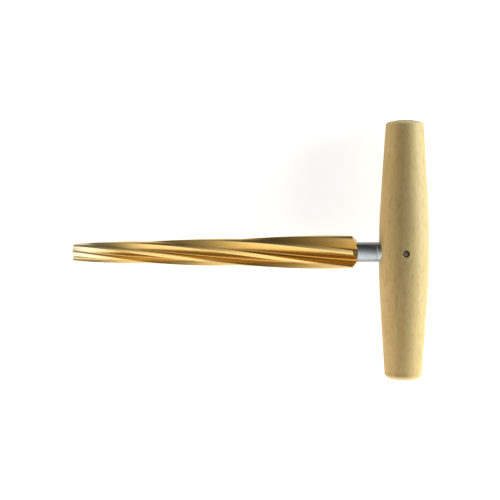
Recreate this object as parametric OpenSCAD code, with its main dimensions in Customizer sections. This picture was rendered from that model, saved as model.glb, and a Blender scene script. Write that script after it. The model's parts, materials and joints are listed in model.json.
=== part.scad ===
// Peg reamer: a spiral-fluted tapered blade on a steel shank, pinned in a turned wooden T-handle.
// It lies on a bench, resting on the handle's belly and on the blade's tip. Millimetres, +Z up,
// +X along the tool from the tip to the handle, +Y along the handle.

/* [Blade] */
// Diameter over the cutting edges at the tip
tip_d = 8.5; // [7:0.1:10]
// Length of the fluted cone
blade_l = 124; // [100:1:140]
// Taper: the diameter grows by one part in this many of the length
taper = 17; // [15:0.5:24]
// Number of cutting edges
teeth = 6; // [4:1:8]
// Helix angle of the flutes, the same at every diameter
helix = 8.6; // [4:0.2:12]
// Turn of the first cutting edge at the tip, in degrees from the top
edge_turn = 11.5; // [0:0.5:60]
// Width of the land behind each cutting edge
land_w = 1.75; // [1:0.05:2]
// Radius at the heel of the land, as a share of the edge radius
heel_share = 0.97; // [0.95:0.01:0.99]
// Radius at the root of a flute, as a share of the edge radius
root_share = 0.54; // [0.5:0.01:0.64]
// Depth of the flutes at the tip, as a share of their full depth
tip_depth = 0.55; // [0.4:0.05:1]
// Length over which the flutes reach their full depth
depth_run = 30; // [10:1:60]
// Chamfer that leads the tip into a hole
lead = 0.4; // [0.2:0.1:0.8]
// Length of the short cone behind the flutes
back_l = 2.25; // [1.5:0.25:3]

/* [Shank] */
// Diameter of the shank
shank_d = 9; // [8:0.1:9.5]
// Bare length between the blade and the handle
neck_l = 9.65; // [6:0.05:16]
// How far the shank reaches past the middle of the handle
shank_tail = 5; // [4:0.5:6]
// How far the shank sits from the middle of the handle's length
shank_off = -0.5; // [-1:0.1:1]
// Diameter of the spigot in the blade
spigot_d = 5; // [3.5:0.1:5]
// Length of the spigot
spigot_l = 18; // [10:1:24]

/* [Handle] */
// Length of the handle
handle_l = 115; // [90:1:130]
// Diameter at the middle
belly_d = 21.9; // [20:0.1:25]
// Diameter that the sides taper to at each end
end_d = 16.2; // [14:0.1:18]
// Half length of the straight middle
belly_flat = 4; // [2:0.5:8]
// Length over which the middle blends into each side
belly_blend = 16; // [8:0.5:20]
// How far each side bows out from straight
side_bow = 0.05; // [0:0.01:0.5]
// Radius of the domed ends
dome_r = 24.5; // [16:0.5:40]
// Rounding between the sides and the domed end on the +Y side
far_corner_r = 1.3; // [0.8:0.1:3]
// Rounding between the sides and the domed end on the -Y side
near_corner_r = 2.4; // [0.8:0.1:3]

/* [Cross pin] */
// Diameter of the pin
pin_d = 3; // [2:0.1:3.5]
// How far the pin's domed ends lie below the handle's surface
pin_recess = 0.2; // [0.1:0.05:0.5]
// Radius of the pin's domed ends
pin_dome_r = 2; // [2:0.25:6]

/* [Hidden] */
// Room between a pin, spigot or shank and the hole that it is fixed in, on the radius
fit_gap = 0.02;
// Smallest cut past a surface, so that a hole breaks out cleanly
overcut = 1;
tip_r = tip_d / 2;
shank_r = shank_d / 2;
belly_r = belly_d / 2;
end_r = end_d / 2;
spigot_r = spigot_d / 2;
pin_r = pin_d / 2;
pitch = 360 / teeth;
back_r = tip_r + blade_l / taper / 2;
// The cone's small end stands a little proud of the shank
shoulder_step = 0.05;
back_end_r = shank_r + shoulder_step;
// Places along the tool, measured from the crossing of the blade's and the handle's axes
back_x = -belly_r - neck_l;
shoulder_x = back_x - back_l;
tip_x = shoulder_x - blade_l;
// Share of the gap behind a land at which the flute is deepest
root_at = 0.95;
// Root fillet: share of the slope in front of it, its lift over the root, its end on the next cutting face
fillet_at = 0.86;
fillet_lift = 0.03;
fillet_end = 0.12;
land_steps = 2;
slope_steps = 5;
blade_steps = 36;
cone_steps = 4;
// Fine groove turned in the shank just outside the handle: its distance from the wood, width and depth
groove_off = 1.1;
groove_w = 0.3;
groove_h = 0.12;
groove_x = -belly_r - groove_off;
shank_chamfer = 0.6;
// Angle of a drilled hole's conical end
drill_point = 118;
pin_half = belly_r - pin_recess;
// Steps along a rounded stretch and along a side, and sides of a round piece
arc_steps = 8;
side_steps = 10;
round_sides = 96;
// Angle at which the tool lies, with the tip and the belly on the bench
tip_reach = norm([tip_x, tip_r]);
rest_tilt = asin(belly_r / tip_reach) - atan2(tip_r, -tip_x);
lie_min_x = tip_x * cos(rest_tilt) - tip_r * sin(rest_tilt);
centre_x = (lie_min_x + belly_r) / 2;

// Edge radius at a distance from the tip, without the chamfers at the two ends
function edge_r(u) = tip_r + u / taper / 2;

// Turn of the flutes from the tip to a distance u, at a constant helix angle on a cone
function flute_turn(u) = tan(helix) * 2 * taper * ln(edge_r(u) / tip_r) * 180 / PI;

// Share of the full flute depth at a distance from the tip
function flute_depth(u) = min(1, tip_depth + (1 - tip_depth) * u / depth_run);

// A point of a tooth, given as an angle behind the edge and a share of the edge radius, as a place and back
function as_place(p) = p[1] * [sin(p[0]), cos(p[0])];
function as_pair(p) = [atan2(p[0], p[1]), norm(p)];

// One tooth at a distance from the tip, from its cutting edge back to the next, as pairs of an angle behind
// the edge and a share of the edge radius. The land keeps its width, so the flutes widen towards the back.
function tooth(u) = let (
    land = land_w / edge_r(u) * 180 / PI,
    gap = pitch - land,
    heel = as_place([land, heel_share]),
    root = as_place([land + root_at * gap, root_share]))
    concat(
        [for (i = [0 : land_steps]) [land * i / land_steps, 1 - (1 - heel_share) * i / land_steps]],
        [for (i = [1 : slope_steps]) as_pair(heel + (root - heel) * fillet_at * i / slope_steps)],
        [[land + root_at * gap, root_share + fillet_lift],
            [land + (1 + root_at) / 2 * gap, root_share + fillet_end]]);

// Largest radius that the two end chamfers leave at a distance from the tip
function end_limit(u) = min(
    tip_r - lead + u,
    u < blade_l ? back_r : back_r - (back_r - back_end_r) * (u - blade_l) / back_l);

// One ring of the blade's outline
function blade_ring(u) = [for (k = [0 : teeth - 1], p = tooth(u))
    let (
        turn = edge_turn - k * pitch - p[0] - flute_turn(u),
        r = min(edge_r(u) * (1 - (1 - p[1]) * flute_depth(u)), end_limit(u)))
    [tip_x + u, r * sin(turn), r * cos(turn)]];

ring_at = concat(
    [0, lead],
    [for (i = [1 : blade_steps]) blade_l * i / blade_steps],
    [for (i = [1 : cone_steps]) blade_l + back_l * i / cone_steps]);

// The fluted body, closed at both ends around a middle point
module fluted_body() {
    rings = [for (u = ring_at) blade_ring(u)];
    sides = len(rings[0]);
    last = len(rings) - 1;
    middles = len(rings) * sides;
    points = concat([for (ring = rings) each ring], [[tip_x, 0, 0], [back_x, 0, 0]]);
    walls = [for (i = [0 : last - 1], j = [0 : sides - 1])
        let (a = i * sides + j, b = i * sides + (j + 1) % sides)
        each [[a, a + sides, b + sides], [a, b + sides, b]]];
    caps = [for (j = [0 : sides - 1])
        let (a = j, b = (j + 1) % sides, shift = last * sides)
        each [[middles, a, b], [middles + 1, b + shift, a + shift]]];
    polyhedron(points = points, faces = concat(walls, caps));
}

// Turns a shape that stands on Z so that it points along +X
module along_x() {
    rotate([0, 90, 0]) children();
}

// Lays the tool on the bench, centred over the origin
module laid_down() {
    translate([-centre_x, 0, belly_r]) rotate([0, -rest_tilt, 0]) children();
}

// Lays down what sits on the shank's own axis, which may lie beside the middle of the handle
module laid_on_axis() {
    laid_down() translate([0, shank_off, 0]) children();
}

// A blind hole along X from one place to another, with a drill's pointed end
module drilled_hole(r, from_x, to_x) {
    point_l = r / tan(drill_point / 2);
    translate([from_x, 0, 0]) along_x() cylinder(h = to_x - from_x, r = r, $fn = round_sides);
    translate([to_x, 0, 0]) along_x() cylinder(h = point_l, r1 = r, r2 = 0, $fn = round_sides);
}

module blade() {
    color("goldenrod") laid_on_axis() difference() {
        fluted_body();
        mirror([1, 0, 0]) drilled_hole(spigot_r + fit_gap, -back_x - overcut, spigot_l - back_x + fit_gap);
    }
}

// Half outline of the shank, from the spigot's end to the tail inside the handle
function shank_outline() = [
    [0, back_x - spigot_l],
    [spigot_r - shank_chamfer, back_x - spigot_l],
    [spigot_r, back_x - spigot_l + shank_chamfer],
    [spigot_r, back_x],
    [shank_r, back_x],
    [shank_r, groove_x - groove_w / 2],
    [shank_r - groove_h, groove_x],
    [shank_r, groove_x + groove_w / 2],
    [shank_r, shank_tail - shank_chamfer],
    [shank_r - shank_chamfer, shank_tail],
    [0, shank_tail]];

module shank() {
    color("silver") laid_on_axis() difference() {
        along_x() rotate_extrude($fn = round_sides) polygon(shank_outline());
        cylinder(h = 2 * shank_d, r = pin_r + fit_gap, center = true, $fn = round_sides);
    }
}

// Radius of the handle at a distance from its middle, up to the rounded corner
side_start = belly_flat + belly_blend;
side_start_r = belly_r - (belly_r - end_r) * belly_blend / 2 / (handle_l / 2 - belly_flat - belly_blend / 2);
function side_r(z) = let (t = (z - side_start) / (handle_l / 2 - side_start))
    side_start_r + (end_r - side_start_r) * t + 4 * side_bow * t * (1 - t);
function blend_r(z) = belly_r - (belly_r - side_start_r) * pow((z - belly_flat) / belly_blend, 2);

// Corner rounding: a circle inside the side that touches the dome from within
dome_z = handle_l / 2 - dome_r;
function corner_x(r) = side_r(handle_l / 2 - 2 * r) - r;
function corner_z(r) = dome_z + sqrt(pow(dome_r - r, 2) - pow(corner_x(r), 2));
side_angle = atan2(side_start_r - end_r, handle_l / 2 - side_start);

// Half outline of the handle from its middle to an end with a given corner rounding
function half_handle(r) = let (x = corner_x(r), z = corner_z(r), corner_end = atan2(z - dome_z, x)) concat(
    [for (i = [0 : arc_steps]) let (at = belly_flat + belly_blend * i / arc_steps) [blend_r(at), at]],
    [for (i = [1 : side_steps]) let (at = side_start + (z - side_start) * i / side_steps) [side_r(at), at]],
    [for (i = [1 : arc_steps]) let (a = side_angle + (corner_end - side_angle) * i / arc_steps)
        [x + r * cos(a), z + r * sin(a)]],
    [for (i = [1 : arc_steps]) let (a = corner_end + (90 - corner_end) * i / arc_steps)
        [i == arc_steps ? 0 : dome_r * cos(a), dome_z + dome_r * sin(a)]]);

module handle() {
    far = half_handle(far_corner_r);
    near = half_handle(near_corner_r);
    last = len(near) - 1;
    near_down = [for (i = [0 : last]) [near[last - i][0], -near[last - i][1]]];
    // The turned shape starts and ends along the line that touches the bench, so that its middle lies steady
    color("burlywood") laid_down() difference() {
        rotate([0, 90 + rest_tilt, 0]) rotate([-90, 0, 0]) rotate_extrude($fn = round_sides)
            polygon(concat(near_down, far));
        translate([0, shank_off, 0]) {
            drilled_hole(shank_r + fit_gap, -belly_r - overcut, shank_tail + fit_gap);
            cylinder(h = belly_d + 2 * overcut, r = pin_r + fit_gap, center = true, $fn = round_sides);
        }
    }
}

// The pin, domed at both ends
module cross_pin() {
    dome_edge = asin(pin_r / pin_dome_r);
    upper = [for (i = [0 : arc_steps]) let (a = dome_edge * (1 - i / arc_steps))
        [pin_dome_r * sin(a), pin_half - pin_dome_r + pin_dome_r * cos(a)]];
    lower = [for (i = [0 : arc_steps]) [upper[arc_steps - i][0], -upper[arc_steps - i][1]]];
    color("dimgray") laid_on_axis() rotate_extrude($fn = round_sides) polygon(concat(lower, upper));
}

handle();
blade();
shank();
cross_pin();
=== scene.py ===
import json
from math import asin, atan2, cos, degrees, log, pi, radians, sin, sqrt, tan

import bmesh
import bpy
from mathutils import Matrix, Vector


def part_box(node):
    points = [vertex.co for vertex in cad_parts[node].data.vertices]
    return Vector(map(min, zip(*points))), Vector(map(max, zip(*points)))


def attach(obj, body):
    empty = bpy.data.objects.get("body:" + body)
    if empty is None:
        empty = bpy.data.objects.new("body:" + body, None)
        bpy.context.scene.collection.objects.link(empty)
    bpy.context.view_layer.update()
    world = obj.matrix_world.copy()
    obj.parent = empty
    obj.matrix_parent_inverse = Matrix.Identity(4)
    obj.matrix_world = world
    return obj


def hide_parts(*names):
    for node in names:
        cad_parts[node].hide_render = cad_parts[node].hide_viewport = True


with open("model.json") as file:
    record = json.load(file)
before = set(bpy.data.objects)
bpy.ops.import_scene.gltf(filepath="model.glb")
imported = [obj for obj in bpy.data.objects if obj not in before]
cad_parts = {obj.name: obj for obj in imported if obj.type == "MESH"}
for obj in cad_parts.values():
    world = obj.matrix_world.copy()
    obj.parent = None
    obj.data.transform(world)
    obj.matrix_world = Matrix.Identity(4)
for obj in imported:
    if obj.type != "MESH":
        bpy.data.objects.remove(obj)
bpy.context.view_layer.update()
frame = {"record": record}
mm = 0.001
weld = 1e-7   # points closer than this after a spin are one
sliver = 0.004 * mm   # and closer than this after a cut
upright = Matrix.Rotation(pi / 2, 4, "Y")   # stands X on end, for the pin and its holes
noiseLow, noiseHigh = 0.3, 0.7   # most of a noise lies between these

# where the tool lies: in its own space the blade's axis is X and the handle's is Y,
# and the two cross at the origin
handleLow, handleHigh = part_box("handle")
handleMiddle = (handleLow + handleHigh) / 2
mounts = {m["name"]: m for m in frame["record"]["mounts"]}
tipCentre = Vector(mounts["tip_face"]["pos_m"])
crossing = Vector((handleMiddle.x, tipCentre.y, handleMiddle.z))   # the shank sits beside the handle's middle
lieAngle = asin((crossing - tipCentre).normalized().z)
layDown = Matrix.Translation(crossing) @ Matrix.Rotation(-lieAngle, 4, "Y")
tipX = -(crossing - tipCentre).length
bellyRadius = (handleHigh.z - handleLow.z) / 2
print("frame loaded, the tool lies at", round(degrees(lieAngle), 3), "degrees")


def newPiece(name, bm):
    mesh = bpy.data.meshes.new(name)
    bm.to_mesh(mesh)
    bm.free()
    piece = bpy.data.objects.new(name, mesh)
    bpy.context.scene.collection.objects.link(piece)
    return piece


def turnedBody(name, outline, steps, stand=Matrix.Identity(4)):
    # outline: distance along X, radius and corner rounding, from end to end
    bm = bmesh.new()
    corners = [bm.verts.new((along, 0, radius)) for along, radius, rounding in outline]
    for first, second in zip(corners, corners[1:]):
        bm.edges.new((first, second))
    for corner, (along, radius, rounding) in zip(corners, outline):
        if rounding > 0:
            bmesh.ops.bevel(bm, geom=[corner], offset=rounding, offset_type="OFFSET", segments=5,
                            profile=0.5, affect="VERTICES", material=-1)
    bmesh.ops.spin(bm, geom=bm.verts[:] + bm.edges[:], cent=(0, 0, 0), axis=(1, 0, 0), dvec=(0, 0, 0),
                   angle=2 * pi, steps=steps, use_merge=True, use_normal_flip=False, use_duplicate=False)
    bmesh.ops.remove_doubles(bm, verts=bm.verts, dist=weld)
    bmesh.ops.recalc_face_normals(bm, faces=bm.faces)
    bmesh.ops.transform(bm, matrix=stand, verts=bm.verts)
    return newPiece(name, bm)


def plainDrill(name, start, stop, radius, stand=Matrix.Identity(4)):
    outline = [(start, 0, 0), (start, radius, 0), (stop, radius, 0), (stop, 0, 0)]
    return turnedBody(name, outline, steps=64, stand=stand)


def bothEnds(outline):
    return outline + [(-along, radius, rounding) for along, radius, rounding in reversed(outline)]


def closeSlivers(mesh):
    bm = bmesh.new()
    bm.from_mesh(mesh)
    bmesh.ops.remove_doubles(bm, verts=bm.verts, dist=sliver)
    bmesh.ops.dissolve_degenerate(bm, edges=bm.edges, dist=sliver)
    bmesh.ops.triangulate(bm, faces=[face for face in bm.faces if len(face.verts) > 4])
    # faces that are folded onto each other have the same corners
    sameCorners = {}
    for face in bm.faces:
        sameCorners.setdefault(frozenset(face.verts), []).append(face)
    folded = [face for faces in sameCorners.values() if len(faces) > 1 for face in faces]
    bmesh.ops.delete(bm, geom=folded, context="FACES")
    bm.to_mesh(mesh)
    bm.free()


def trimBy(piece, tool, operation="DIFFERENCE"):
    trim = piece.modifiers.new("trim", "BOOLEAN")
    trim.operation = operation
    trim.solver = "EXACT"
    trim.object = tool
    bpy.context.view_layer.update()
    shape = bpy.data.meshes.new_from_object(piece.evaluated_get(bpy.context.evaluated_depsgraph_get()))
    piece.modifiers.clear()
    piece.data = shape
    bpy.data.objects.remove(tool)
    closeSlivers(shape)


def placePiece(piece, node, material, sharpDegrees):
    mesh = piece.data
    mesh.transform(layDown)
    mesh.materials.clear()
    mesh.materials.append(material)
    mesh.shade_smooth()
    mesh.set_sharp_from_angle(angle=radians(sharpDegrees))
    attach(piece, "root")
    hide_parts(node)
    print(piece.name, "stands for", node, "with", len(mesh.polygons), "faces")


# small helpers for materials
def newMaterial(name):
    material = bpy.data.materials.new(name)
    material.use_nodes = True
    return material, material.node_tree, material.node_tree.nodes["Principled BSDF"]


def addNode(tree, kind, values=None, **settings):
    # a value is either a constant or another node's output
    node = tree.nodes.new("ShaderNode" + kind)
    for key, value in settings.items():
        setattr(node, key, value)
    for key, value in (values or {}).items():
        if isinstance(value, bpy.types.NodeSocket):
            tree.links.new(value, node.inputs[key])
        else:
            node.inputs[key].default_value = value
    return node


def mixColour(tree, factor, first, second):
    return addNode(tree, "Mix", {0: factor, 6: first, 7: second}, data_type="RGBA").outputs[2]


def spread(tree, value, low, high, newLow, newHigh):
    return addNode(tree, "MapRange", {0: value, 1: low, 2: high, 3: newLow, 4: newHigh}).outputs[0]


def maths(tree, operation, first, second=0):
    return addNode(tree, "Math", {0: first, 1: second}, operation=operation).outputs[0]


def addBump(tree, shader, height, spec):
    bump = addNode(tree, "Bump", {"Height": height, "Strength": spec["bump"], "Distance": spec["bumpDepth"]})
    tree.links.new(bump.outputs[0], shader.inputs["Normal"])


# fine ground or turned lines and duller patches, shared by the three steel pieces
def makeGroundFinish():
    group = bpy.data.node_groups.new("groundFinish", "ShaderNodeTree")
    for name, kind in (("Vector", "Vector"), ("Line Scale", "Float"), ("Patch Scale", "Float")):
        group.interface.new_socket(name, in_out="INPUT", socket_type="NodeSocket" + kind)
    for name in ("Lines", "Patches"):
        group.interface.new_socket(name, in_out="OUTPUT", socket_type="NodeSocketFloat")
    start, end = group.nodes.new("NodeGroupInput"), group.nodes.new("NodeGroupOutput")
    vector = start.outputs["Vector"]
    lines = addNode(group, "TexNoise", {"Vector": vector, "Scale": start.outputs["Line Scale"],
                                        "Detail": 4.0, "Roughness": 0.65})
    patches = addNode(group, "TexNoise", {"Vector": vector, "Scale": start.outputs["Patch Scale"],
                                          "Detail": 3.0, "Roughness": 0.5})
    group.links.new(lines.outputs[0], end.inputs["Lines"])
    group.links.new(spread(group, patches.outputs[0], noiseLow, noiseHigh, 0.0, 1.0), end.inputs["Patches"])
    return group


groundFinish = makeGroundFinish()


def addGroundFinish(tree, vector, spec):
    ground = addNode(tree, "Group", {"Vector": vector, "Line Scale": spec["lineScale"],
                                     "Patch Scale": spec["patchScale"]}, node_tree=groundFinish)
    return ground.outputs["Lines"], ground.outputs["Patches"]


def finishSteel(tree, shader, tone, roughOffset, lines, spec):
    tree.links.new(tone, shader.inputs["Base Color"])
    tree.links.new(maths(tree, "ADD", roughOffset, spec["roughness"]), shader.inputs["Roughness"])
    addBump(tree, shader, lines, spec)
    shader.inputs["Metallic"].default_value = spec["metallic"]


# blade
bladeSpec = {
    "tipRadius": 4.25 * mm, "length": 124 * mm, "backLength": 2.25 * mm, "taper": 17,
    "teeth": 6, "helix": 8.6, "firstTurn": 11.5,   # the last two in degrees
    # one tooth: its land's width, then shares, of the relief reached half way over the land (landBow),
    # of the edge's radius (the ratios) and of the gap behind the land (rootShare)
    "landWidth": 1.75 * mm, "landBow": 0.4, "heelRatio": 0.97, "rootShare": 0.95, "rootRatio": 0.54,
    "tipDepth": 0.55, "depthRun": 30 * mm,   # the flutes start shallow at the tip
    "rootRound": 0.12, "heelRound": 0.02, "edgeRound": 0.006,   # shares of the radius
    "steps": 170, "slopeCuts": 7, "overrun": 0.8 * mm,   # the blank sticks out at both ends
    "lead": 0.4 * mm, "coneLead": 0.4 * mm, "endRadius": 4.55 * mm, "endRound": 0.25 * mm,
    "clear": 1 * mm, "clearRun": 6 * mm,   # between the ends the lathe's outline stays clear of the edges
    "socketRadius": 2.52 * mm, "socketDepth": 18.02 * mm,
    "gold": (0.81, 0.57, 0.22, 1), "deepGold": (0.71, 0.46, 0.13, 1), "patchShare": 0.45, "lineShare": 0.25,
    # painted shade: darker and more orange down in the flutes, more so towards the back, where the light
    # falls off
    "fluteShadeGold": (0.66, 0.36, 0.075, 1), "fluteShadeShare": 0.9, "fluteTop": 0.98, "fluteFloor": 0.7,
    "fluteStart": 30 * mm, "fluteRun": 100 * mm, "fluteLeast": 0.3,
    "tipHighlightGold": (0.93, 0.84, 0.60, 1), "tipHighlightShare": 0.85, "tipHighlightRun": 20 * mm,   # and a painted highlight: paler at the tip, where the light is brightest
    "roughness": 0.25, "roughOffsets": (-0.05, 0.06), "metallic": 1.0, "bump": 0.6, "bumpDepth": 0.004 * mm,
    "lineStretch": 22, "lineScale": 46, "patchScale": 2.2,
}


def edgeRadius(u):
    return bladeSpec["tipRadius"] + u / bladeSpec["taper"] / 2


def fluteTurn(u):
    return tan(radians(bladeSpec["helix"])) * 2 * bladeSpec["taper"] * log(edgeRadius(u) / edgeRadius(0))


def makeFlutedBlank():
    spec = bladeSpec
    pitch = 2 * pi / spec["teeth"]
    start = -spec["overrun"]
    stop = spec["length"] + spec["backLength"] + spec["overrun"]
    radius = edgeRadius(start)
    firstLand = spec["landWidth"] / radius
    gap = pitch - firstLand
    # one tooth, from its cutting edge over the relieved land and down the slope to the root of the next face
    tooth = [(0, 1), (0.5 * firstLand, 1 - spec["landBow"] * (1 - spec["heelRatio"])),
             (firstLand, spec["heelRatio"]), (firstLand + spec["rootShare"] * gap, spec["rootRatio"])]
    roundings = ((3, "rootRound", 8), (2, "heelRound", 2), (0, "edgeRound", 2))   # corner, name, segments
    bm = bmesh.new()
    ring = []
    for k in range(spec["teeth"]):
        for behind, ratio in tooth:
            turn = radians(spec["firstTurn"]) - k * pitch - behind - fluteTurn(start)
            ring.append(bm.verts.new((tipX + start, radius * ratio * sin(turn), radius * ratio * cos(turn))))
    bm.faces.new(ring)
    for corner, rounding, segments in roundings:
        bmesh.ops.bevel(bm, geom=ring[corner::len(tooth)], offset=spec[rounding] * radius,
                        offset_type="OFFSET", segments=segments, profile=0.5, affect="VERTICES", material=-1)
    bm.edges.ensure_lookup_table()
    longest = sorted(bm.edges, key=lambda e: -e.calc_length())[:spec["teeth"]]   # the slopes of the flutes
    bmesh.ops.subdivide_edges(bm, edges=longest, cuts=spec["slopeCuts"])
    # the outline grows, turns and moves along the axis step by step
    edges = bm.edges[:]
    u, grow = start, (stop - start) / spec["steps"]
    for step in range(spec["steps"]):
        made = bmesh.ops.extrude_edge_only(bm, edges=edges)["geom"]
        verts = [g for g in made if isinstance(g, bmesh.types.BMVert)]
        edges = [g for g in made if isinstance(g, bmesh.types.BMEdge)]
        scale = edgeRadius(u + grow) / edgeRadius(u)
        turn = fluteTurn(u + grow) - fluteTurn(u)
        bmesh.ops.translate(bm, vec=(grow, 0, 0), verts=verts)
        bmesh.ops.scale(bm, vec=(1, scale, scale), verts=verts)
        bmesh.ops.rotate(bm, cent=(0, 0, 0), matrix=Matrix.Rotation(turn, 3, "X"), verts=verts)
        u += grow
    bmesh.ops.holes_fill(bm, edges=edges, sides=0)
    # the lands keep their width, so the flutes widen towards the back, and they deepen from the tip
    for vert in bm.verts:
        along, y, z = vert.co
        u = along - tipX
        land = spec["landWidth"] / edgeRadius(u)
        behind = (radians(spec["firstTurn"]) - fluteTurn(u) - atan2(y, z)) % pitch
        if behind < firstLand:
            shift = behind * (1 - land / firstLand)
        else:
            shift = (pitch - behind) * (firstLand - land) / gap
        depth = min(1, spec["tipDepth"] + (1 - spec["tipDepth"]) * u / spec["depthRun"])
        ratio = sqrt(y * y + z * z) / edgeRadius(u)
        grow = (1 - (1 - ratio) * depth) / ratio
        vert.co = Matrix.Rotation(-shift, 3, "X") @ Vector((along, y * grow, z * grow))
    bmesh.ops.recalc_face_normals(bm, faces=bm.faces)
    return newPiece("blade_fluted", bm)


def makeBlade():
    spec = bladeSpec
    blank = makeFlutedBlank()
    shoulder = tipX + spec["length"]
    backX = shoulder + spec["backLength"]
    backRadius = edgeRadius(spec["length"])
    wide = backRadius + spec["clear"]
    coneRadius = backRadius + (backRadius - spec["endRadius"]) * spec["coneLead"] / spec["backLength"]
    # the blank is faced and chamfered at the tip and coned off behind the flutes
    lathe = turnedBody("bladeLathe", [
        (tipX, 0, 0), (tipX, spec["tipRadius"] - spec["lead"], 0),
        (tipX + 3 * spec["lead"], spec["tipRadius"] + 2 * spec["lead"], 0),
        (tipX + spec["clearRun"], wide, 0), (shoulder - spec["clearRun"], wide, 0),
        (shoulder - spec["coneLead"], coneRadius, 0),
        (backX, spec["endRadius"], spec["endRound"]), (backX, 0, 0)], steps=160)
    trimBy(blank, lathe, "INTERSECT")
    trimBy(blank, plainDrill("bladeSocket", backX - spec["socketDepth"], backX + spec["clear"],
                             spec["socketRadius"]))
    # the straightened flutes, so that ground lines run along them
    flutes = blank.data.attributes.new("fluteSpace", "FLOAT_VECTOR", "POINT")
    for vert in blank.data.vertices:
        x, y, z = vert.co
        u = x - tipX
        ratio = sqrt(y * y + z * z) / edgeRadius(u)
        turn = atan2(y, z) + fluteTurn(u)
        flutes.data[vert.index].vector = (u, ratio * sin(turn), ratio * cos(turn))
    return blank


def makeCoatedSteel():
    spec = bladeSpec
    material, tree, shader = newMaterial("coated_blade")
    flutes = addNode(tree, "Attribute", attribute_name="fluteSpace").outputs["Vector"]
    stretch = addNode(tree, "Mapping", {"Vector": flutes, "Scale": (spec["lineStretch"], 1, 1)})
    lines, patches = addGroundFinish(tree, stretch.outputs[0], spec)
    tone = mixColour(tree, spread(tree, patches, 0, 1, 0, spec["patchShare"]), spec["gold"], spec["deepGold"])
    lineTone = spread(tree, lines, noiseLow, noiseHigh, 0, spec["lineShare"])
    tone = mixColour(tree, lineTone, tone, spec["deepGold"])
    # fluteSpace holds the way from the tip in X, and the share of the edge's radius as the length of Y and Z
    fromTip = addNode(tree, "SeparateXYZ", {0: flutes}).outputs["X"]
    across = addNode(tree, "Mapping", {"Vector": flutes, "Scale": (0, 1, 1)})
    ratio = addNode(tree, "VectorMath", {0: across.outputs[0]}, operation="LENGTH").outputs["Value"]
    # painted shade: the colour darkens down in the flutes and towards the back
    deep = maths(tree, "MULTIPLY",
                 spread(tree, ratio, spec["fluteTop"], spec["fluteFloor"], 0, spec["fluteShadeShare"]),
                 spread(tree, fromTip, spec["fluteStart"], spec["fluteRun"], spec["fluteLeast"], 1))
    tone = mixColour(tree, deep, tone, spec["fluteShadeGold"])
    # painted highlight: paler towards the tip
    tipHighlight = spread(tree, fromTip, 0, spec["tipHighlightRun"], spec["tipHighlightShare"], 0)
    tone = mixColour(tree, tipHighlight, tone, spec["tipHighlightGold"])
    roughOffset = spread(tree, lines, noiseLow, noiseHigh, *spec["roughOffsets"])
    finishSteel(tree, shader, tone, roughOffset, lines, spec)
    return material


placePiece(makeBlade(), "blade", makeCoatedSteel(), sharpDegrees=28)


# shank
shankSpec = {
    "radius": 4.5 * mm, "neck": 9.65 * mm, "tail": 5 * mm, "spigotRadius": 2.5 * mm, "spigotLength": 18 * mm,
    "grooveOff": 1.1 * mm, "grooveWidth": 0.3 * mm, "grooveDepth": 0.12 * mm, "grooveRound": 0.05 * mm,
    "chamfer": 0.6 * mm, "backRound": 0.08 * mm,
    "pinHole": 1.52 * mm, "pinHoleReach": 9 * mm,   # radius, and the drill's reach up and down
    "steel": (0.455, 0.485, 0.495, 1), "dull": (0.345, 0.375, 0.39, 1), "lineShare": 0.6,
    "roughness": 0.3, "roughOffsets": (-0.03, 0.06), "metallic": 1.0, "bump": 0.3, "bumpDepth": 0.001 * mm,
    "lineStretch": 14, "lineScale": 420, "patchScale": 160,
}


def makeShank():
    spec = shankSpec
    radius, grooveRound = spec["radius"], spec["grooveRound"]
    backX = -bellyRadius - spec["neck"]
    spigotX = backX - spec["spigotLength"]
    grooveX = -bellyRadius - spec["grooveOff"]
    half = spec["grooveWidth"] / 2
    outline = [
        (spigotX, 0, 0), (spigotX, spec["spigotRadius"], spec["chamfer"]),
        (backX, spec["spigotRadius"], 0), (backX, radius, spec["backRound"]),
        (grooveX - half, radius, grooveRound), (grooveX, radius - spec["grooveDepth"], grooveRound),
        (grooveX + half, radius, grooveRound),
        (spec["tail"], radius, spec["chamfer"]), (spec["tail"], 0, 0)]
    piece = turnedBody("shank_turned", outline, steps=128)
    reach = spec["pinHoleReach"]
    trimBy(piece, plainDrill("shankCrossHole", -reach, reach, spec["pinHole"], upright))
    return piece


def makeShankSteel():
    spec = shankSpec
    material, tree, shader = newMaterial("shank_steel")
    place = addNode(tree, "TexCoord")
    axis = addNode(tree, "Mapping", {"Vector": place.outputs["Object"], "Rotation": (0, lieAngle, 0),
                                     "Scale": (spec["lineStretch"], 1, 1)})
    lines, patches = addGroundFinish(tree, axis.outputs[0], spec)
    lineTone = spread(tree, lines, noiseLow, noiseHigh, 0, spec["lineShare"])
    tone = mixColour(tree, lineTone, spec["steel"], spec["dull"])
    roughOffset = spread(tree, patches, 0, 1, *spec["roughOffsets"])
    finishSteel(tree, shader, tone, roughOffset, lines, spec)
    return material


placePiece(makeShank(), "shank", makeShankSteel(), sharpDegrees=32)


# cross pin
pinSpec = {
    "radius": 1.5 * mm, "recess": 0.2 * mm, "domeRadius": 2 * mm, "domeSteps": 10, "edgeRound": 0.1 * mm,
    "steel": (0.25, 0.24, 0.18, 1), "dull": (0.13, 0.125, 0.09, 1),
    "roughness": 0.3, "roughOffsets": (-0.05, 0.1), "metallic": 0.25,   # under an oxide skin
    "bump": 0.4, "bumpDepth": 0.006 * mm, "lineScale": 5200, "patchScale": 900,
}


def makePin():
    spec = pinSpec
    half = bellyRadius - spec["recess"]
    domeEdge = asin(spec["radius"] / spec["domeRadius"])
    dome = []
    for i in range(spec["domeSteps"] + 1):
        angle = domeEdge * i / spec["domeSteps"]
        dome.append((half - spec["domeRadius"] * (1 - cos(angle)), spec["domeRadius"] * sin(angle), 0))
    dome[-1] = (dome[-1][0], spec["radius"], spec["edgeRound"])
    return turnedBody("cross_pin_domed", bothEnds(dome), steps=72, stand=upright)


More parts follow.
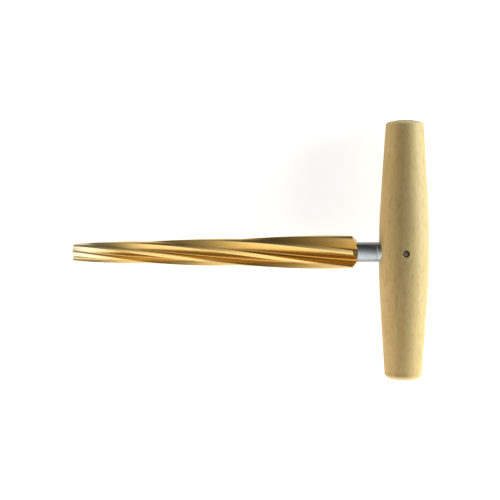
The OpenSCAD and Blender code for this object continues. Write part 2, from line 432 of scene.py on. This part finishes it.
def makePinSteel():
    spec = pinSpec
    material, tree, shader = newMaterial("pin_steel")
    place = addNode(tree, "TexCoord")
    lines, patches = addGroundFinish(tree, place.outputs["Object"], spec)
    tone = mixColour(tree, patches, spec["steel"], spec["dull"])
    roughOffset = spread(tree, lines, noiseLow, noiseHigh, *spec["roughOffsets"])
    finishSteel(tree, shader, tone, roughOffset, lines, spec)
    return material


placePiece(makePin(), "cross_pin", makePinSteel(), sharpDegrees=35)


# handle
handleSpec = {
    "length": handleHigh.y - handleLow.y, "endRadius": 8.1 * mm,
    "bellyFlat": 4 * mm, "bellyBlend": 16 * mm, "sideBow": 0.05 * mm,
    "domeRadius": 24.5 * mm, "farCorner": 1.3 * mm, "nearCorner": 2.4 * mm,
    "shankBore": 4.56 * mm, "boreRoom": 0.02 * mm, "boreClear": 2 * mm, "drillPoint": 59,   # half its angle
    "pinBore": 1.53 * mm, "pinMouth": 0.3 * mm, "pinClear": 1 * mm,
    "pale": (0.85, 0.66, 0.31, 1), "warm": (0.74, 0.53, 0.215, 1), "pore": (0.46, 0.31, 0.14, 1),
    "endGrain": (0.70, 0.585, 0.38, 1), "endFrom": 0.55, "endTo": 0.85,   # how far the surface faces along Y
    "roughness": 0.5, "roughOffsets": (-0.05, 0.08), "specular": 0.35, "bump": 0.5, "bumpDepth": 0.02 * mm,
    "ringSpacing": 2.6 * mm, "pith": (46 * mm, 0, -34 * mm), "ringTilt": (1.6, 0, 1.1),
}
# noises of the wood: scale along the handle, then scale, detail and roughness
woodNoises = {
    "fibres": (0.03, 2300, 4, 0.6), "streaks": (0.03, 620, 2, 0.5), "clouds": (0.03, 42, 3, 0.5),
    "pores": (0.09, 3400, 1, 0.4), "flecks": (0.35, 900, 2, 0.6), "endPores": (1, 1500, 3, 0.6),
}
# what darkens the wood: from and to which value, how much, and to which colour
sideLayers = (
    ("rings", 0.1, 1.0, 0.45, "warm"), ("fibres", 0.35, 0.75, 0.35, "warm"),
    ("streaks", 0.35, 0.65, 0.45, "warm"), ("clouds", 0.35, 0.65, 0.3, "warm"),
    ("pores", 0.66, 0.76, 0.22, "pore"), ("flecks", 0.5, 0.72, 0.36, "pore"))
endLayers = (("endPores", 0.4, 0.7, 0.4, "pore"), ("rings", 0.1, 1.0, 0.25, "pore"))


def handleHalfOutline(corner):
    spec = handleSpec
    flatSteps, blendSteps, sideSteps, cornerSteps, domeSteps = 4, 20, 30, 12, 14
    halfLength = spec["length"] / 2
    flat, blend, endRadius = spec["bellyFlat"], spec["bellyBlend"], spec["endRadius"]
    sideStart = flat + blend
    startRadius = bellyRadius - (bellyRadius - endRadius) * blend / 2 / (halfLength - flat - blend / 2)

    def sideRadius(along):
        t = (along - sideStart) / (halfLength - sideStart)
        return startRadius + (endRadius - startRadius) * t + 4 * spec["sideBow"] * t * (1 - t)

    dome = spec["domeRadius"]
    domeAt = halfLength - dome
    cornerRadial = sideRadius(halfLength - 2 * corner) - corner
    cornerAlong = domeAt + sqrt((dome - corner) ** 2 - cornerRadial ** 2)
    cornerEnd = atan2(cornerAlong - domeAt, cornerRadial)
    sideAngle = atan2(startRadius - endRadius, halfLength - sideStart)
    points = [(flat * i / flatSteps, bellyRadius) for i in range(flatSteps)]
    for i in range(blendSteps + 1):
        fall = (bellyRadius - startRadius) * (i / blendSteps) ** 2
        points.append((flat + blend * i / blendSteps, bellyRadius - fall))
    for i in range(1, sideSteps + 1):
        along = sideStart + (cornerAlong - sideStart) * i / sideSteps
        points.append((along, sideRadius(along)))
    for i in range(1, cornerSteps + 1):
        angle = sideAngle + (cornerEnd - sideAngle) * i / cornerSteps
        points.append((cornerAlong + corner * sin(angle), cornerRadial + corner * cos(angle)))
    for i in range(1, domeSteps + 1):
        angle = cornerEnd + (pi / 2 - cornerEnd) * i / domeSteps
        points.append((domeAt + dome * sin(angle), dome * cos(angle) if i < domeSteps else 0))
    return points


def makeHandle():
    spec = handleSpec
    outline = [(-along, radius, 0) for along, radius in reversed(handleHalfOutline(spec["nearCorner"])[1:])]
    outline += [(along, radius, 0) for along, radius in handleHalfOutline(spec["farCorner"])]
    stand = Matrix.Translation((0, handleMiddle.y - crossing.y, 0)) @ Matrix.Rotation(pi / 2, 4, "Z")
    piece = turnedBody("handle_turned", outline, steps=200, stand=stand)
    bore = spec["shankBore"]
    boreStart = -bellyRadius - spec["boreClear"]
    boreEnd = shankSpec["tail"] + spec["boreRoom"]
    trimBy(piece, turnedBody("handleBore", [
        (boreStart, 0, 0), (boreStart, bore, 0), (boreEnd, bore, 0),
        (boreEnd + bore / tan(radians(spec["drillPoint"])), 0, 0)], steps=96))
    # the pin's hole, with its two mouths eased
    mouth, pinBore, clear = spec["pinMouth"], spec["pinBore"], spec["pinClear"]
    side = [(bellyRadius + clear, 0, 0), (bellyRadius + clear, pinBore + mouth + clear, 0),
            (bellyRadius - mouth, pinBore, mouth)]
    trimBy(piece, turnedBody("handlePinHole", bothEnds(side), steps=72, stand=upright))
    return piece


def woodNoise(tree, vector, alongScale, scale, detail, roughness):
    drawn = addNode(tree, "Mapping", {"Vector": vector, "Scale": (1, alongScale, 1)})
    return addNode(tree, "TexNoise", {"Vector": drawn.outputs[0], "Scale": scale, "Detail": detail,
                                      "Roughness": roughness}).outputs[0]


def layerWood(tree, tone, layers, grain):
    for name, low, high, share, colour in layers:
        tone = mixColour(tree, spread(tree, grain[name], low, high, 0, share), tone, handleSpec[colour])
    return tone


def makeTurnedWood():
    spec = handleSpec
    material, tree, shader = newMaterial("handle_wood")
    place = addNode(tree, "TexCoord")
    centred = addNode(tree, "Mapping", {"Vector": place.outputs["Object"],
                                        "Location": -handleMiddle}).outputs[0]
    grain = {name: woodNoise(tree, centred, *values) for name, values in woodNoises.items()}
    # growth rings round a pith that lies beside the handle; at scale 1 they would be 0.314 apart
    ringPlace = addNode(tree, "Mapping", {"Vector": centred, "Location": spec["pith"],
                                          "Rotation": [radians(angle) for angle in spec["ringTilt"]]})
    rings = addNode(tree, "TexWave", {"Vector": ringPlace.outputs[0], "Scale": 0.314 / spec["ringSpacing"],
                                      "Distortion": 2.6, "Detail": 2.0, "Detail Scale": 0.35,
                                      "Detail Roughness": 0.55},
                    wave_type="RINGS", rings_direction="Y", wave_profile="SAW")
    grain["rings"] = rings.outputs["Fac"]
    tone = layerWood(tree, spec["pale"], sideLayers, grain)
    # the domed ends cut across the grain: greyer, with open pores
    facing = addNode(tree, "NewGeometry")
    across = addNode(tree, "SeparateXYZ", {0: facing.outputs["Normal"]})
    alongHandle = maths(tree, "ABSOLUTE", across.outputs["Y"])
    endShare = spread(tree, alongHandle, spec["endFrom"], spec["endTo"], 0, 1)
    endTone = layerWood(tree, spec["endGrain"], endLayers, grain)
    tree.links.new(mixColour(tree, endShare, tone, endTone), shader.inputs["Base Color"])
    rough = [spec["roughness"] + offset for offset in spec["roughOffsets"]]
    tree.links.new(spread(tree, grain["fibres"], noiseLow, noiseHigh, *rough), shader.inputs["Roughness"])
    addBump(tree, shader, grain["fibres"], spec)
    shader.inputs["Specular IOR Level"].default_value = spec["specular"]
    return material


placePiece(makeHandle(), "handle", makeTurnedWood(), sharpDegrees=30)


# bench, light and camera
studio = {
    "floorHalf": 6.0, "floorColour": (0.86, 0.86, 0.86, 1), "floorMirrored": (0.02, 0.02, 0.02, 1),
    "floorGlow": 0.82, "floorRoughness": 0.8, "floorSpecular": 0.1,
    "floorGloss": 1.2, "floorFarGloss": 0.11, "floorFarRun": 55 * mm,
    "floorNearShare": 0.62, "floorNearFrom": -50 * mm, "floorNearTo": -15 * mm,
    "worldShown": 1.0, "worldLight": 0.02, "worldFront": 1.15, "worldFill": 0.42, "worldBack": 0.06,
    "worldLean": 1.1, "worldFrontAt": -0.75, "worldFillAt": 0.1, "worldBackAt": 0.8,
    "lampAim": (20 * mm, 0, 10 * mm), "mirroredLamp": "right_panel",   # the metal mirrors only this one
    "cameraDistance": 470 * mm, "lens": 76.7, "sensor": 36, "tilt": 4.6, "roll": 0.3,
    "lookAt": (0.05 * mm, 0.72 * mm, 10.95 * mm),
}
# place, width and height, watts and colour of each lamp
lamps = {
    "right_panel": ((0.48, 0.08, 0.125), (0.3, 0.2), 2.14, (0.93, 1.0, 1.0)),
    "left_strip": ((-0.39, 0.0, 0.05), (0.45, 0.07), 1.03, (1.0, 0.9, 0.76)),
    "front_strip": ((0.07, -0.25, 0.06), (0.4, 0.08), 0.72, (1.0, 0.96, 0.97)),
    "back_strip": ((0.06, 0.3, 0.03), (0.3, 0.04), 0.32, (1.0, 0.97, 1.0)),
}


def shownAndMirrored(tree, shown, gloss):
    # one strength for the camera, another for what the metal mirrors
    path = addNode(tree, "LightPath").outputs
    mirrored = maths(tree, "MAXIMUM", path["Is Glossy Ray"], path["Is Transmission Ray"])
    strength = maths(tree, "ADD", maths(tree, "MULTIPLY", path["Is Camera Ray"], shown),
                     maths(tree, "MULTIPLY", mirrored, gloss))
    return mirrored, strength


def makeFloor():
    bm = bmesh.new()
    bmesh.ops.create_grid(bm, x_segments=1, y_segments=1, size=studio["floorHalf"])
    floor = newPiece("bench_floor", bm)
    material, tree, shader = newMaterial("bench_white")
    shader.inputs["Roughness"].default_value = studio["floorRoughness"]
    shader.inputs["Specular IOR Level"].default_value = studio["floorSpecular"]
    shader.inputs["Emission Color"].default_value = (1, 1, 1, 1)
    # white to the camera; for the metal a painted reflection, a glow brightest under the blade, and a painted
    # shadow, nearly black, at the back
    place = addNode(tree, "TexCoord")
    side = addNode(tree, "SeparateXYZ", {0: place.outputs["Object"]}).outputs["Y"]
    near = spread(tree, side, studio["floorNearFrom"], studio["floorNearTo"], studio["floorNearShare"], 1)
    far = spread(tree, side, 0, studio["floorFarRun"], studio["floorGloss"], studio["floorFarGloss"])
    gloss = maths(tree, "MULTIPLY", near, far)
    mirrored, glow = shownAndMirrored(tree, studio["floorGlow"], gloss)
    # painted shade for the metal: the floor's lit colour is nearly black in reflections, so the metal sees
    # only the painted glow
    tone = mixColour(tree, mirrored, studio["floorColour"], studio["floorMirrored"])
    tree.links.new(tone, shader.inputs["Base Color"])
    tree.links.new(glow, shader.inputs["Emission Strength"])
    floor.data.materials.append(material)


def makeWorld():
    world = bpy.data.worlds.new("studio_world")
    bpy.context.scene.world = world
    world.use_nodes = True
    tree = world.node_tree
    background = tree.nodes["Background"]
    background.inputs["Color"].default_value = (1, 1, 1, 1)
    # the metal mirrors a room that is bright in front on the left and dark behind on the right
    place = addNode(tree, "TexCoord")
    side = addNode(tree, "SeparateXYZ", {0: place.outputs["Generated"]})
    lean = maths(tree, "MULTIPLY", side.outputs["X"], studio["worldLean"])
    towardsBack = maths(tree, "ADD", side.outputs["Y"], lean)
    front = spread(tree, towardsBack, studio["worldFrontAt"], studio["worldFillAt"], studio["worldFront"], 0)
    back = spread(tree, towardsBack, studio["worldFillAt"], studio["worldBackAt"],
                  studio["worldFill"], studio["worldBack"])
    room = maths(tree, "ADD", front, back)
    strength = shownAndMirrored(tree, studio["worldShown"], room)[1]
    tree.links.new(maths(tree, "MAXIMUM", strength, studio["worldLight"]), background.inputs["Strength"])


def addLamp(name):
    place, size, watts, colour = lamps[name]
    lamp = bpy.data.lights.new(name, "AREA")
    lamp.shape = "RECTANGLE"
    lamp.size, lamp.size_y = size
    lamp.energy = watts
    lamp.color = colour
    holder = bpy.data.objects.new(name, lamp)
    holder.location = place
    aim = Vector(studio["lampAim"]) - Vector(place)
    holder.rotation_euler = aim.to_track_quat("-Z", "Y").to_euler()
    holder.visible_glossy = name == studio["mirroredLamp"]
    bpy.context.scene.collection.objects.link(holder)


def addCamera():
    tilt, roll = radians(studio["tilt"]), radians(studio["roll"])
    back = Vector((0, sin(tilt), cos(tilt)))
    right, up = Vector((1, 0, 0)), Vector((0, cos(tilt), -sin(tilt)))
    right, up = right * cos(roll) - up * sin(roll), up * cos(roll) + right * sin(roll)
    turn = Matrix((right, up, back)).transposed().to_4x4()
    camera = bpy.data.objects.new("camera", bpy.data.cameras.new("camera"))
    camera.data.lens = studio["lens"]
    camera.data.sensor_width = studio["sensor"]
    place = Vector(studio["lookAt"]) + back * studio["cameraDistance"]
    camera.matrix_world = Matrix.Translation(place) @ turn
    bpy.context.scene.collection.objects.link(camera)
    bpy.context.scene.camera = camera


makeFloor()
makeWorld()
for lampName in lamps:
    addLamp(lampName)
addCamera()
bpy.context.scene.view_settings.view_transform = "Standard"
print("bench, light and camera are set")
